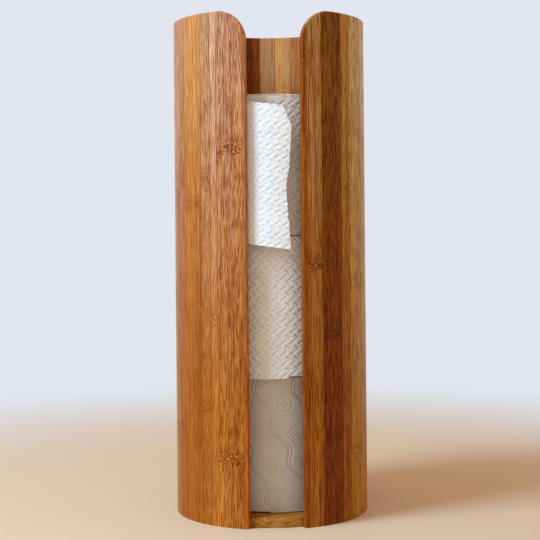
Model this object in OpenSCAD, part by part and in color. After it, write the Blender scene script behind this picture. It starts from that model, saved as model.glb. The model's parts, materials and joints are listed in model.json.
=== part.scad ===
// Free-standing toilet roll stand. A panel of edge-glued bamboo strips is bent into
// an open tube, with a tall front slot that shows how many rolls are left. A strip-built
// bamboo disc closes the bottom. Three rolls stand inside, and are lifted out at the top.
//
// Z runs up the axis of the tube, the slot faces -Y, and the origin is the centre of
// the underside. Angles named here are measured from the slot centre, growing to +X.

/* [Panel] */
// Thickness of the bent panel
wall = 5; // [3:0.5:8]
// Width of the front slot, straight across between its outer edges
slot_w = 39.5; // [24:0.5:60]
// Radius of the swept top corners of the slot
corner_r = 22; // [10:1:34]
// Radius sanded on the rim and down the slot edges
edge_r = 1; // [0.6:0.1:1.4]
// Height of the panel above the top roll
head_room = 58; // [30:1:120]

/* [Base] */
// Thickness of the base disc
base_t = 7; // [4:0.5:15]
// Widest that a strip of the base disc may be
base_strip_w = 20; // [12:1:40]
// Glue line between the base disc and the panel
glue_line = 0.1; // [0.05:0.05:0.3]

/* [Rolls] */
// Diameter of the middle and top rolls
roll_d = 115; // [100:1:130]
// Height of the middle and top rolls
roll_h = 100; // [90:1:115]
// Diameter of the slimmer bottom roll
bottom_roll_d = 104; // [90:1:120]
// Height of the bottom roll
bottom_roll_h = 96; // [85:1:110]
// Gap between the widest roll and the inside of the panel
roll_gap = 8.5; // [5:0.5:20]
// Gap left between a roll and what it stands on
rest_gap = 0.3; // [0.2:0.1:0.5]
// Outside diameter of the cardboard cores
core_d = 42; // [36:1:50]
// Thickness of the cardboard of the cores
core_wall = 1; // [0.6:0.1:2]
// How far each end of a core sits inside its roll
core_recess = 0.5; // [0.2:0.1:2]
// Gap between a core and the first turn of paper
core_fit = 0.1; // [0.05:0.05:0.2]
// Radius of the soft outer edges of a wound roll
roll_edge_r = 1.5; // [0.5:0.5:3]

/* [Loose sheet] */
// Thickness of the loose sheet, two embossed plies
sheet_t = 0.5; // [0.3:0.1:1]
// How far below the top of its roll the loose sheet leaves it
sheet_drop = 0.5; // [0:0.5:10]
// How much lower the torn edge hangs than where the sheet leaves the roll
sheet_droop = 9.3; // [0:0.1:12]
// How far round its roll the loose sheet stands open
sheet_open_turn = 85; // [40:5:90]
// How far right of the slot centre the torn edge reaches
torn_edge_x = 12.5; // [-4:0.5:14]
// Gap between the loose sheet and the inside of the panel
sheet_clear = 0.7; // [0.5:0.1:2]
// Gap between the loose sheet and its roll where it leaves it
ply_gap = 0.1; // [0.05:0.05:0.3]

/* [Hidden] */
$fn = 128;

// Strips of the panel in the order they are glued, from the right slot edge round the
// back to the left slot edge. Each has its width and its tone, 0 for dark to 4 for pale.
// A panel that needs more strips goes through the list again, and all are planed alike
// until a whole number of them fills the panel.
PANEL_STRIPS = [
    [3.3, 1], [12, 1], [18, 0], [10, 1], [18.5, 3], [20, 3], [14, 2], [20, 3],
    [10, 1], [18, 2], [20, 3], [17, 3], [13.4, 4], [13, 3], [7.2, 0], [20, 0],
    [12, 2], [20, 3], [18, 2], [10, 3], [20, 2], [15, 3], [9.9, 3], [9.2, 2],
    [20.5, 2], [8.6, 2], [5.9, 4], [19.6, 2], [3, 2]
];
BAMBOO_TONES = [
    [0.45, 0.24, 0.09], [0.59, 0.34, 0.13], [0.69, 0.42, 0.18], [0.73, 0.48, 0.25], [0.80, 0.55, 0.31]
];
BASE_TONES = [3, 2, 4];

// The torn edge from top to bottom: how far left of its furthest point it lies, in mm,
// and how far below the top of the sheet, as a share of the sheet's height
TORN_EDGE = [[6, 0], [0, 0.13], [1, 0.31], [2, 0.45], [4, 0.55], [3, 0.73], [1, 1]];

inner_r = max(roll_d, bottom_roll_d) / 2 + roll_gap;
outer_r = inner_r + wall;
bottom_roll_z = base_t + rest_gap;
middle_roll_z = bottom_roll_z + bottom_roll_h + rest_gap;
top_roll_z = middle_roll_z + roll_h + rest_gap;
panel_h = top_roll_z + roll_h + head_room;

// The panel as it lies flat, measured along its outer face
slot_half_angle = asin(slot_w / 2 / outer_r);
panel_l = outer_r * (360 - 2 * slot_half_angle) * PI / 180;
function strip(i) = PANEL_STRIPS[i % len(PANEL_STRIPS)];
function strip_start(i) = i == 0 ? 0 : strip_start(i - 1) + strip(i - 1)[0];
function strips_to_fill(i) = strip_start(i) + strip(i)[0] / 2 > panel_l ? i : strips_to_fill(i + 1);
strip_count = strips_to_fill(1);
planing = panel_l / strip_start(strip_count);
function strip_angle(i) = slot_half_angle + strip_start(i) * planing / outer_r * 180 / PI;

base_r = inner_r - glue_line;
base_count = ceil(2 * base_r / base_strip_w);
base_strip_y = 2 * base_r / base_count;

// A cut or a cutter runs this far past the faces it goes through
overrun = 1;
// A swept corner runs this far past the faces it joins, so that it meets them cleanly
corner_runout = 0.05;

function numbered(stem, i) = str(stem, i < 9 ? "0" : "", i + 1);
STAVES = [for (i = [0 : strip_count - 1]) numbered("stave_", i)];
BASE_STRIPS = [for (i = [0 : base_count - 1]) numbered("base_strip_", i)];
ROLLS = [
    "bottom_roll_paper", "bottom_roll_core", "middle_roll_paper", "middle_roll_core",
    "top_roll_paper", "top_roll_core", "loose_sheet"
];

// Turns what is drawn along +X to an angle from the slot centre
module at_angle(a) {
    rotate([0, 0, a - 90]) children();
}

// Section of the panel wall, with its rim sanded round on both sides
module wall_section() {
    translate([inner_r, 0]) square([wall, panel_h - edge_r]);
    translate([inner_r + edge_r, 0]) square([wall - 2 * edge_r, panel_h]);
    for (x = [inner_r + edge_r, outer_r - edge_r])
        translate([x, panel_h - edge_r]) circle(edge_r, $fn = 48);
}

// What the sanding takes off one corner of a slot edge, seen from above: the corner
// points to +X and +Y, and lies at the origin
module sanded_off() {
    difference() {
        translate([-edge_r, -edge_r]) square(edge_r + overrun);
        translate([-edge_r, -edge_r]) circle(edge_r, $fn = 48);
    }
}

// Rounds both corners of the right slot edge over the whole height. The left edge
// is its mirror image.
module slot_edge_sanding() {
    at_angle(slot_half_angle) translate([0, 0, -overrun]) linear_extrude(panel_h + 2 * overrun) {
        translate([outer_r, 0]) mirror([0, 1]) sanded_off();
        translate([inner_r, 0]) mirror([1, 0]) mirror([0, 1]) sanded_off();
    }
}

// What the saw takes off the right top corner of the slot, along a large radius
module swept_corner() {
    axis_angle = slot_half_angle + asin((corner_r - corner_runout) / outer_r);
    axis_z = panel_h - corner_r + corner_runout;
    at_angle(axis_angle) translate([inner_r - corner_r, 0, axis_z]) rotate([90, 0, 90])
        linear_extrude(wall + 2 * corner_r) difference() {
            translate([-corner_r - wall, 0]) square([corner_r + wall, corner_r + overrun]);
            circle(corner_r);
        }
}

// One strip of the bent panel, glued face to face with its neighbours. The strips by
// the slot also lose what the saw and the sanding take off.
module stave(i) {
    from = strip_angle(i);
    to = strip_angle(i + 1);
    reach = 2 * asin((corner_r + wall) / outer_r);
    color(BAMBOO_TONES[strip(i)[1]]) difference() {
        at_angle(from) rotate_extrude(angle = to - from) wall_section();
        if (from < slot_half_angle + reach) swept_corner();
        if (to > 360 - slot_half_angle - reach) mirror([1, 0, 0]) swept_corner();
        if (i == 0) slot_edge_sanding();
        if (i == strip_count - 1) mirror([1, 0, 0]) slot_edge_sanding();
    }
}

// One strip of the base disc, its grain along X. The disc drops into the tube and
// lies flush with the panel's bottom edge.
module base_strip(i) {
    color(BAMBOO_TONES[BASE_TONES[i % len(BASE_TONES)]]) intersection() {
        cylinder(r = base_r, h = base_t);
        translate([-outer_r, i * base_strip_y - base_r, 0])
            cube([2 * outer_r, base_strip_y, base_t]);
    }
}

// The wound paper of a roll: soft outer edges, and a bore that the core fills
module roll_paper(d, h, z) {
    bore_r = core_d / 2 + core_fit;
    color([0.90, 0.88, 0.84]) translate([0, 0, z]) rotate_extrude() {
        translate([bore_r, 0]) square([d / 2 - roll_edge_r - bore_r, h]);
        translate([bore_r, roll_edge_r]) square([d / 2 - bore_r, h - 2 * roll_edge_r]);
        for (y = [roll_edge_r, h - roll_edge_r])
            translate([d / 2 - roll_edge_r, y]) circle(roll_edge_r, $fn = 48);
    }
}

// The cardboard tube of a roll, a little shorter than the paper
module roll_core(h, z) {
    color([0.62, 0.54, 0.44]) translate([0, 0, z + core_recess]) difference() {
        cylinder(d = core_d, h = h - 2 * core_recess);
        translate([0, 0, -overrun]) cylinder(r = core_d / 2 - core_wall, h = h + 2 * overrun);
    }
}

// The loose end of the top roll. It leaves the roll at the left, stands open along the
// inside of the panel, droops as it goes, and ends in the slot at a torn edge.
module loose_sheet() {
    start_r = roll_d / 2 + ply_gap;
    end_r = inner_r - sheet_clear - sheet_t;
    widening = 2 * (pow(end_r, 2) - pow(start_r, 2)) / (1 - cos(sheet_open_turn));
    centre_x = (sqrt(pow(start_r, 2) + widening) - start_r) / 2;
    sheet_r = start_r + centre_x;
    turn = atan2(sheet_r * sin(sheet_open_turn), sheet_r * cos(sheet_open_turn) - centre_x);
    leaves_at = asin(torn_edge_x / end_r) - turn;
    leaves_x = start_r * sin(leaves_at);
    leaves_z = top_roll_z + roll_h - sheet_drop;
    slope = sheet_droop / (torn_edge_x - leaves_x);
    function top_edge_z(x) = leaves_z - slope * (x - leaves_x);
    torn = [
        for (p = TORN_EDGE)
            let (x = torn_edge_x - p[0]) [x, top_edge_z(x) - p[1] * roll_h]
    ];
    color([0.96, 0.96, 0.97]) intersection() {
        at_angle(leaves_at) translate([-centre_x, 0, 0]) rotate_extrude(angle = sheet_open_turn)
            translate([sheet_r, 0]) square([sheet_t, panel_h]);
        rotate([90, 0, 0]) linear_extrude(outer_r) polygon(concat(
            [[-outer_r, top_edge_z(-outer_r) - roll_h], [-outer_r, top_edge_z(-outer_r)]], torn
        ));
    }
}

for (i = [0 : strip_count - 1])
    stave(i);
for (i = [0 : base_count - 1])
    base_strip(i);
roll_paper(bottom_roll_d, bottom_roll_h, bottom_roll_z);  // bottom_roll_paper
roll_core(bottom_roll_h, bottom_roll_z);  // bottom_roll_core
roll_paper(roll_d, roll_h, middle_roll_z);  // middle_roll_paper
roll_core(roll_h, middle_roll_z);  // middle_roll_core
roll_paper(roll_d, roll_h, top_roll_z);  // top_roll_paper
roll_core(roll_h, top_roll_z);  // top_roll_core
loose_sheet();
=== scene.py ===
import json
import math

import bpy
import numpy as np
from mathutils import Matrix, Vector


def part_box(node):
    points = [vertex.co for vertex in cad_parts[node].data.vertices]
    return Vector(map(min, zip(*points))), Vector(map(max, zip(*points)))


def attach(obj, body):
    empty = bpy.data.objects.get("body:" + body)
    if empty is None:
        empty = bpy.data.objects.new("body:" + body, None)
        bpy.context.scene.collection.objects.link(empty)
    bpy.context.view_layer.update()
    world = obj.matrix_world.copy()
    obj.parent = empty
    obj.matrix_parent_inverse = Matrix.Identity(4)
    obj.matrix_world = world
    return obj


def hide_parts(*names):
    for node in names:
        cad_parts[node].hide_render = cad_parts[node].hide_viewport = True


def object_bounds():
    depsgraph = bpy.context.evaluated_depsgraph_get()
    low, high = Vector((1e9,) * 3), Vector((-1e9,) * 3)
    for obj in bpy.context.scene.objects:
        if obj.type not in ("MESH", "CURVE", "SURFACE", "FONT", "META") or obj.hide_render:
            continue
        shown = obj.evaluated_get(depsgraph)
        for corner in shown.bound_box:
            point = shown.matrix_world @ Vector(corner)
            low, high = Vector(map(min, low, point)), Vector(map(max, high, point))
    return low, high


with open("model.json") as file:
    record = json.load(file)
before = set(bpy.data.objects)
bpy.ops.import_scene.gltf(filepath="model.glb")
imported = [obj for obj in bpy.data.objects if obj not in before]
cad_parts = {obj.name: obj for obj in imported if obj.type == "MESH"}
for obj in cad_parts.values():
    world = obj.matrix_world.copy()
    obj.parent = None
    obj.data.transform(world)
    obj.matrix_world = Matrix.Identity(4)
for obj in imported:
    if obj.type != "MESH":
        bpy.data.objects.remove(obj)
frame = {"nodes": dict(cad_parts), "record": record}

cad_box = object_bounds()

# The camera stands a little left of the slot and a little over the middle of the stand. It
# looks straight ahead, and its horizon lies above the middle of the picture.
PICTURE_PX = 540
FOCAL_LENGTH_PX = 1229.4
HORIZON_PX = 224.2
CAMERA_DISTANCE = 0.9233
CAMERA_HEIGHT = 0.212
CAMERA_TURN = math.radians(-2.8)
CAMERA_ROLL = math.radians(0.5)

bpy.ops.object.select_all(action="DESELECT")
bpy.ops.object.camera_add(
    location=(
        CAMERA_DISTANCE * math.sin(CAMERA_TURN),
        -CAMERA_DISTANCE * math.cos(CAMERA_TURN),
        CAMERA_HEIGHT,
    ),
    rotation=(math.pi / 2, CAMERA_ROLL, CAMERA_TURN),
)
camera = bpy.context.object
camera.data.lens = FOCAL_LENGTH_PX / PICTURE_PX * camera.data.sensor_width
camera.data.shift_y = (HORIZON_PX - PICTURE_PX / 2) / PICTURE_PX
bpy.context.scene.camera = camera


# The stand is shown on a plain pale sweep, which runs back as a floor and then curves up
# into a wall. A soft lamp stands high at the left, in pale air that is brighter higher up.
def srgb(red, green, blue):
    """A colour as it is seen on a screen, 0 to 255, as the light that Blender works in."""
    seen = [c / 255 for c in (red, green, blue)]
    return [*(c / 12.92 if c < 0.04045 else ((c + 0.055) / 1.055) ** 2.4 for c in seen), 1]


def feed(node, inputs):
    """Fills a node's inputs: a socket is linked to its input, and anything else is set there."""
    for name, value in inputs.items():
        if isinstance(value, bpy.types.NodeSocket):
            node.id_data.links.new(value, node.inputs[name])
        else:
            node.inputs[name].default_value = value


def wire(tree, kind, inputs=None, **settings):
    """Adds a node with its settings and its inputs."""
    node = tree.nodes.new(kind)
    for name, value in settings.items():
        setattr(node, name, value)
    feed(node, inputs or {})
    return node


def new_finish(name):
    """A new material, its node tree, its shader and the socket that gives the place on a piece."""
    finish = bpy.data.materials.new(name)
    finish.use_nodes = True
    tree = finish.node_tree
    place = wire(tree, "ShaderNodeTexCoord").outputs["Object"]
    return finish, tree, tree.nodes["Principled BSDF"], place


FLOOR_COLOUR = srgb(225, 193, 160)
WALL_COLOUR = srgb(225, 230, 239)
FLOOR_FADES = 0.2
FLOOR_ENDS = 0.75
SWEEP_ROUGHNESS = 0.7
SWEEP_WIDTH = 9.0
SWEEP_FRONT = -3.5
SWEEP_BACK = 1.9
SWEEP_CURVE = 0.7
SWEEP_CURVE_STEPS = 24
SWEEP_HEIGHT = 4.5
SWEEP_EXACT = 0.001
LAMP_AZIMUTH = math.radians(-62)
LAMP_ELEVATION = math.radians(42)
LAMP_DISTANCE = 1.25
LAMP_AIM_HEIGHT = 0.2
LAMP_WIDTH = 0.38
LAMP_TALL = 0.9
LAMP_POWER = 21.5
LAMP_COLOUR = srgb(176, 220, 255)
AIR_COLOUR = srgb(255, 236, 210)
# The air's light at the slope of a ray where it is weakest, and at the slope where it is full
AIR_LOW = (-0.1, 0.45)
AIR_HIGH = (0.6, 0.76)
# What a gloss mirrors: a dim room on the camera's side, and full air on the other
MIRRORED_FRONT = (-0.5, 0.06)
MIRRORED_BACK = (0.4, 1.0)

bpy.ops.object.select_all(action="DESELECT")
bpy.ops.mesh.primitive_plane_add(size=1)
sweep = bpy.context.object
sweep.name = "sweep"
bpy.ops.object.mode_set(mode="EDIT")
bpy.ops.transform.resize(value=(SWEEP_WIDTH, SWEEP_BACK - SWEEP_FRONT, 1))
bpy.ops.transform.translate(value=(0, (SWEEP_BACK + SWEEP_FRONT) / 2, 0))
bpy.ops.mesh.select_mode(type="EDGE")
bpy.ops.mesh.select_all(action="DESELECT")
bpy.ops.object.mode_set(mode="OBJECT")
for edge in sweep.data.edges:
    ends = [sweep.data.vertices[v].co for v in edge.vertices]
    edge.select = all(p.y > SWEEP_BACK - SWEEP_EXACT for p in ends)
bpy.ops.object.mode_set(mode="EDIT")
bpy.ops.mesh.extrude_edges_move(TRANSFORM_OT_translate={"value": (0, 0, SWEEP_HEIGHT)})
bpy.ops.mesh.select_all(action="DESELECT")
bpy.ops.object.mode_set(mode="OBJECT")
for edge in sweep.data.edges:
    ends = [sweep.data.vertices[v].co for v in edge.vertices]
    edge.select = all(p.y > SWEEP_BACK - SWEEP_EXACT and p.z < SWEEP_EXACT for p in ends)
bpy.ops.object.mode_set(mode="EDIT")
bpy.ops.mesh.bevel(offset=SWEEP_CURVE, segments=SWEEP_CURVE_STEPS)
bpy.ops.object.mode_set(mode="OBJECT")
bpy.ops.object.shade_smooth()


def maths(tree, operation, *values):
    """A Math node of the given operation."""
    return wire(tree, "ShaderNodeMath", dict(enumerate(values)), operation=operation).outputs[0]


def seen_rays(tree):
    """1 for rays that show the backdrop, straight or in a gloss, and 0 for those that light."""
    rays = wire(tree, "ShaderNodeLightPath").outputs
    glossy = maths(tree, "MAXIMUM", rays["Is Glossy Ray"], rays["Is Transmission Ray"])
    return maths(tree, "MAXIMUM", rays["Is Camera Ray"], glossy)


sweep_finish, sweep_tree, sweep_shader, sweep_place = new_finish("sweep_paper")
feed(sweep_shader, {"Base Color": FLOOR_COLOUR, "Roughness": SWEEP_ROUGHNESS})
sweep_away = wire(sweep_tree, "ShaderNodeVectorMath", {0: sweep_place}, operation="LENGTH")
sweep_fade = wire(
    sweep_tree,
    "ShaderNodeMapRange",
    {"Value": sweep_away.outputs["Value"], "From Min": FLOOR_FADES, "From Max": FLOOR_ENDS},
    interpolation_type="SMOOTHSTEP",
).outputs[0]
sweep_share = maths(sweep_tree, "MULTIPLY", sweep_fade, seen_rays(sweep_tree))
backdrop = wire(sweep_tree, "ShaderNodeEmission", {"Color": WALL_COLOUR, "Strength": 1.0})
sweep_mix = wire(
    sweep_tree,
    "ShaderNodeMixShader",
    {0: sweep_share, 1: sweep_shader.outputs[0], 2: backdrop.outputs[0]},
)
feed(sweep_tree.nodes["Material Output"], {"Surface": sweep_mix.outputs[0]})
sweep.data.materials.append(sweep_finish)

lamp_out = LAMP_DISTANCE * math.cos(LAMP_ELEVATION)
bpy.ops.object.light_add(
    type="AREA",
    location=(
        lamp_out * math.sin(LAMP_AZIMUTH),
        -lamp_out * math.cos(LAMP_AZIMUTH),
        LAMP_AIM_HEIGHT + LAMP_DISTANCE * math.sin(LAMP_ELEVATION),
    ),
    rotation=(math.pi / 2 - LAMP_ELEVATION, 0, LAMP_AZIMUTH),
)
lamp = bpy.context.object.data
lamp.shape = "RECTANGLE"
lamp.size = LAMP_WIDTH
lamp.size_y = LAMP_TALL
lamp.energy = LAMP_POWER
lamp.color = LAMP_COLOUR[:3]

air = bpy.data.worlds.new("white_air")
air.use_nodes = True
bpy.context.scene.world = air
air_tree = air.node_tree
towards = wire(air_tree, "ShaderNodeTexCoord").outputs["Generated"]
direction = wire(air_tree, "ShaderNodeSeparateXYZ", {0: towards}).outputs


def graded(value, first, second):
    """Light that changes evenly with a ray's slope, between two pairs of a slope and a light."""
    inputs = {"Value": value, "From Min": first[0], "From Max": second[0]}
    inputs |= {"To Min": first[1], "To Max": second[1]}
    return wire(air_tree, "ShaderNodeMapRange", inputs).outputs[0]


lighting = graded(direction["Z"], AIR_LOW, AIR_HIGH)
mirrored = graded(direction["Y"], MIRRORED_FRONT, MIRRORED_BACK)
rays = wire(air_tree, "ShaderNodeLightPath").outputs
air_strength = graded(rays["Is Glossy Ray"], (0.0, lighting), (1.0, mirrored))
air_light = air_tree.nodes["Background"]
feed(air_light, {"Color": AIR_COLOUR, "Strength": air_strength})
air_seen = wire(air_tree, "ShaderNodeBackground", {"Color": WALL_COLOUR, "Strength": 1.0})
air_mix = wire(
    air_tree,
    "ShaderNodeMixShader",
    {0: rays["Is Camera Ray"], 1: air_light.outputs[0], 2: air_seen.outputs[0]},
)
feed(air_tree.nodes["World Output"], {"Surface": air_mix.outputs[0]})

bpy.context.scene.view_settings.view_transform = "Standard"


# The panel is one board of bamboo strips, glued edge to edge. It is sawn to its outline
# while it is flat, with its slot corners swept round, then sanded along its edges and bent.
WALL = 0.005
CORNER_R = 0.0222
CORNER_STEPS = 32
SANDED_R = 0.001
SANDED_STEPS = 4
BEND_STEP = 0.00125
SAME_PLACE = 1e-6
WOOD_SHARP_FROM = math.radians(30)
SLOT_OF = {part["node"]: part["material_slot"] for part in frame["record"]["subparts"]}
STAVES = sorted(name for name in frame["nodes"] if name.startswith("stave_"))
PANEL_HEIGHT = cad_box[1].z
PANEL_R = cad_box[1].x


def activate(piece):
    """Makes a piece the only one selected, so that the next operator acts on it alone."""
    bpy.ops.object.select_all(action="DESELECT")
    piece.select_set(True)
    bpy.context.view_layer.objects.active = piece


def turns(node):
    """The turns of a strip's two glued faces, from the middle of the slot, in radians."""
    points = [v.co for v in frame["nodes"][node].data.vertices]
    around = [math.atan2(p.x, -p.y) % (2 * math.pi) for p in points]
    return min(around), max(around)


def pick(piece, kind, wanted):
    """Leaves only the edges or the points selected for which wanted is true."""
    bpy.ops.mesh.select_mode(type="EDGE" if kind == "edges" else "VERT")
    bpy.ops.mesh.select_all(action="DESELECT")
    bpy.ops.object.mode_set(mode="OBJECT")
    for element in getattr(piece.data, kind):
        element.select = wanted(element)
    bpy.ops.object.mode_set(mode="EDIT")


def glued_board(start, end):
    """The whole board in the XZ plane, with its outer face to -Y and X along the bend."""
    bpy.ops.object.select_all(action="DESELECT")
    bpy.ops.mesh.primitive_plane_add(size=1, rotation=(math.pi / 2, 0, 0))
    board = bpy.context.object
    bpy.ops.object.transform_apply(rotation=True)
    bpy.ops.object.mode_set(mode="EDIT")
    bpy.ops.transform.resize(value=(end - start, 1, PANEL_HEIGHT))
    bpy.ops.transform.translate(value=((end + start) / 2, 0, PANEL_HEIGHT / 2))
    pick(board, "vertices", lambda v: v.co.z > PANEL_HEIGHT / 2)
    bpy.ops.mesh.bevel(offset=CORNER_R, segments=CORNER_STEPS, affect="VERTICES")
    bpy.ops.mesh.select_all(action="SELECT")
    bpy.ops.mesh.extrude_region_move(TRANSFORM_OT_translate={"value": (0, WALL, 0)})
    bpy.ops.mesh.select_all(action="SELECT")
    bpy.ops.mesh.normals_make_consistent(inside=False)
    bpy.ops.object.mode_set(mode="OBJECT")
    spots = [v.co.copy() for v in board.data.vertices]

    def is_sanded(edge):
        one, other = (spots[v] for v in edge.vertices)
        return abs(one.y - other.y) < SAME_PLACE and max(one.z, other.z) > SAME_PLACE

    bpy.ops.object.mode_set(mode="EDIT")
    pick(board, "edges", is_sanded)
    bpy.ops.mesh.bevel(offset=SANDED_R, segments=SANDED_STEPS, affect="EDGES")
    bpy.ops.object.mode_set(mode="OBJECT")
    return board


def saw(at, across, **cleared):
    """Cuts the piece in edit mode by a plane, and can clear one side of it and close the cut."""
    bpy.ops.mesh.select_all(action="SELECT")
    bpy.ops.mesh.bisect(plane_co=at, plane_no=across, **cleared)


def bent_strip(name, board, start, end, ends):
    """One strip of the board, sawn out at its glue lines and bent with the rest."""
    strip = bpy.data.objects.new(name, board.data.copy())
    bpy.context.scene.collection.objects.link(strip)
    activate(strip)
    bpy.ops.object.mode_set(mode="EDIT")
    if start > ends[0]:
        saw((start, 0, 0), (1, 0, 0), clear_inner=True, use_fill=True)
    if end < ends[1]:
        saw((end, 0, 0), (1, 0, 0), clear_outer=True, use_fill=True)
    steps = max(2, round((end - start) / BEND_STEP))
    for step in range(1, steps):
        saw((start + (end - start) * step / steps, 0, 0), (1, 0, 0))
    bpy.ops.object.mode_set(mode="OBJECT")
    glued = [x for x, slot_edge in zip((start, end), ends) if x != slot_edge]
    is_glued = [
        float(any(abs(v.co.x - x) < SAME_PLACE for x in glued)) for v in strip.data.vertices
    ]
    strip.data.attributes.new("glued", "FLOAT", "POINT").data.foreach_set("value", is_glued)
    for v in strip.data.vertices:
        turn, reach, height = v.co.x / PANEL_R, PANEL_R - v.co.y, v.co.z
        v.co = (reach * math.sin(turn), -reach * math.cos(turn), height)
    bpy.ops.object.shade_smooth_by_angle(angle=WOOD_SHARP_FROM)
    return strip


def noise(tree, place, kind, seed):
    """Noise of one kind: its grains per metre along each axis, its own seed, and its detail and
    roughness."""
    scale, own_seed, detail, roughness = kind
    spread = wire(tree, "ShaderNodeVectorMath", {0: place, 1: scale}, operation="MULTIPLY")
    inputs = {"Vector": spread.outputs[0], "W": seed + own_seed, "Scale": 1.0}
    inputs |= {"Detail": detail, "Roughness": roughness}
    return wire(tree, "ShaderNodeTexNoise", inputs, noise_dimensions="4D").outputs["Fac"]


def ranged(tree, value, low, high, to_low=0.0, to_high=1.0):
    """Value taken smoothly from one range to another."""
    inputs = {"Value": value, "From Min": low, "From Max": high}
    inputs |= {"To Min": to_low, "To Max": to_high}
    return wire(tree, "ShaderNodeMapRange", inputs, interpolation_type="SMOOTHSTEP").outputs[0]


def mixed(tree, share, first, second, blend="MIX"):
    """Two colours mixed by a share. A Mix node takes its colours at inputs 6 and 7."""
    inputs = {0: share, 6: first, 7: second}
    return wire(tree, "ShaderNodeMix", inputs, data_type="RGBA", blend_type=blend).outputs[2]


# The ramp that places the knuckles spans half a metre of a strip, from a little below its foot
KNUCKLE_SPAN = 0.5
KNUCKLE_SHIFT = 0.1
KNUCKLE_WAVER = 0.014
# How strong a knuckle's cells, the zigzags over them and the dashes below are, by height
KNUCKLE_PROFILE = [
    (-0.0112, 0.0, 0.0, 0.0),
    (-0.0088, 0.0, 0.0, 0.7),
    (-0.0060, 0.0, 0.0, 0.2),
    (-0.0034, 1.0, 0.0, 0.0),
    (0.0022, 1.0, 0.3, 0.0),
    (0.0040, 0.3, 0.9, 0.0),
    (0.0105, 0.0, 0.0, 0.0),
]
# How far the fibres swerve, along a strip and at its knuckles, and how fine their swirls are
FIBRES_SWERVE = 0.0005
KNUCKLES_SWERVE = 0.0032
SWIRLS = {"Scale": 240.0, "Detail": 1.0}
SWIRL_SEED = 3
# Each kind of grain: how fine it is across the fibres and along them, its own seed, and its
# detail and roughness. The first five are drawn out with the strip's streaks.
SHORT_GRAIN = ((2300, 1.4), 0, 0.0, 0.5)
LONG_GRAIN = ((1500, 0.25), 5, 0.0, 0.5)
BUNDLE_GRAIN = ((330, 0.09), 21, 2.0, 0.6)
LINE_GRAIN = ((800, 0.3), 41, 0.0, 0.5)
DULL_GRAIN = ((1100, 0.25), 51, 0.0, 0.5)
HAIR_GRAIN = ((3400, 60), 9, 0.0, 0.5)
DASH_GRAIN = ((1150, 90), 31, 0.0, 0.5)
BROAD_GRAIN = ((60, 3), 13, 1.0, 0.5)
WAVER_GRAIN = ((260, 30), 0, 2.0, 0.5)
# How many of a knuckle's cells lie in a metre, across the fibres twice and along them
CELLS = (680, 680, 350)
# What each grain has of the tone of the fibres, and what evens out the dark lines
SHORT_SHARE = 0.50
LONG_SHARE = 0.28
BUNDLE_SHARE = 0.11
HAIR_SHARE = 0.11
LINE_SHARE = -0.05
LINES_EVENED = 0.01
DARK_LINE_WIDTH = 0.045
# How far the tone of the fibres goes to either side of the middle, and the tints at its ends
TONE_REACH = 0.12
FIBRE_DEEP = (0.60, 0.38, 0.23)
FIBRE_BRIGHT = (1.32, 1.64, 2.25)
# Painted sheen: the pale tint that the upper part of a strip takes between two heights, standing in
# for the bright room mirrored in the wax
SHEEN_TINT = (1.32, 2.15, 10.5)
SHEEN_FROM, SHEEN_TO = 0.10, 0.36
# Where a grain's own value begins to show and where it shows in full, and how strongly it does
DULL_FIBRE = (0.92, 1.02, 1.7)
DULL_FROM, DULL_TO, DULL_SHARE = 0.45, 0.65, 0.7
BROAD_FROM, BROAD_TO, BROAD_SHADE, BROAD_LIGHT = 0.3, 0.7, 0.86, 1.14
DARK_DASH = (0.60, 0.42, 0.30)
DASH_FROM, DASH_TO, DASHES_ANYWHERE = 0.60, 0.68, 0.35
CELL_OUTLINE = (0.40, 0.13, 0.04)
OUTLINE_FROM, OUTLINE_TO, OUTLINE_SHARE = 0.05, 0.17, 0.9
CELL_INSIDE = (1.50, 1.85, 2.20)
INSIDE_FROM, INSIDE_TO, INSIDE_SHARE = 0.15, 0.27, 0.75
GLUE_TINT = (0.45, 0.32, 0.22)
GLUE_FROM, GLUE_TO, GLUE_SHARE = 0.70, 0.95, 0.8
ROUGH_FROM, ROUGH_TO, ROUGHER, SMOOTHER = 0.35, 0.65, 0.52, 0.40
OUTLINE_SUNK = 0.5
WOOD_BUMP = {"Strength": 0.35, "Distance": 0.00025}
WOOD_GLOSS = {"Specular IOR Level": 0.12}


def tinted(colour, tint):
    """A colour with each of its parts multiplied."""
    return [*(min(1.0, c * t) for c, t in zip(colour, tint)), 1]


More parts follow.
